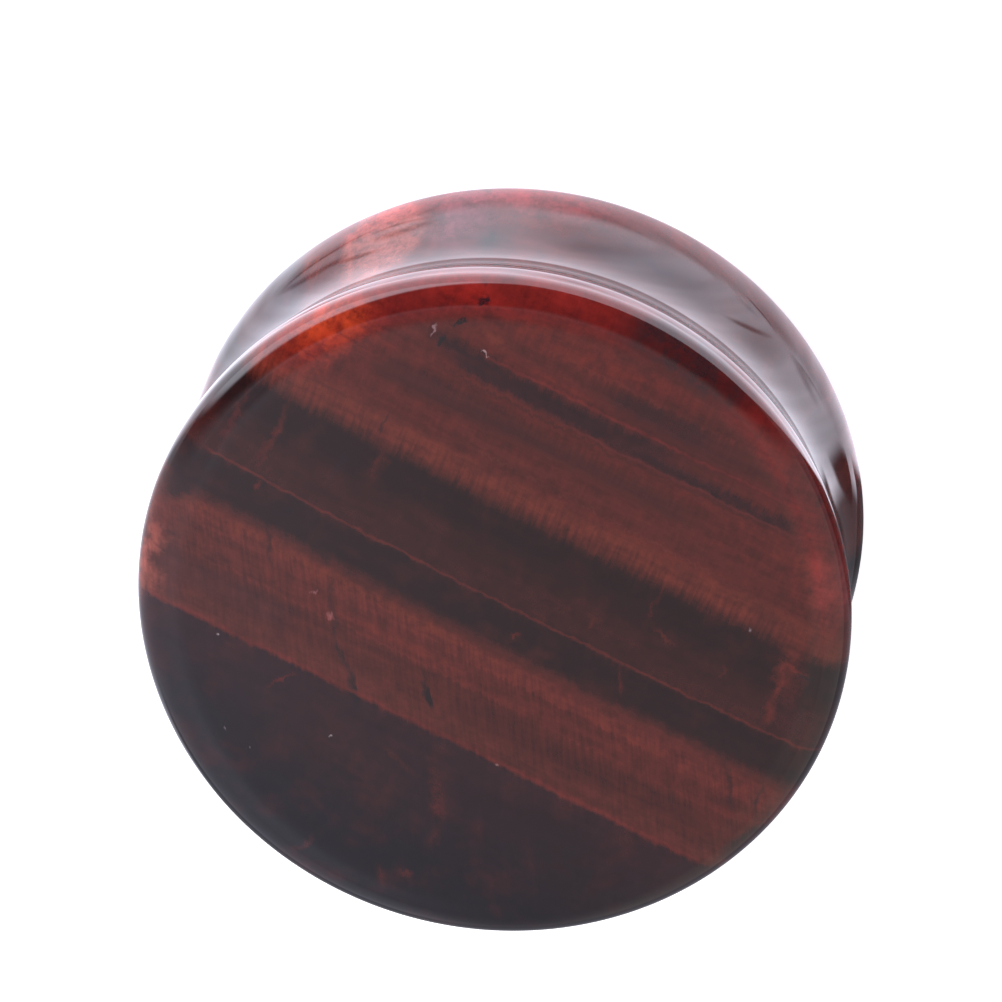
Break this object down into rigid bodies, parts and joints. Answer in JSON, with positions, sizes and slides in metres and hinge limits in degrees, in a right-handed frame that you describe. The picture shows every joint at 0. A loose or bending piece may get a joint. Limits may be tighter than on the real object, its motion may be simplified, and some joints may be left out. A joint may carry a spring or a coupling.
{
  "type": "ear plug gauge",
  "caption": "Solid double-flared ear plug of polished banded stone, with flat faces, softly rounded rims and a shallow concave wall.",
  "frame": {"origin": "centre of the flat face that the plug rests on", "axes": "+Z along the plug's axis, towards the other flat face; +X across the face, towards the right of the picture's view of it"},
  "size_m": [0.03, 0.03, 0.0126],
  "materials": {
    "stone": "high polish"
  },
  "bodies": {
    "root": {"stone_plug": "stone"}
  },
  "joints": []
}
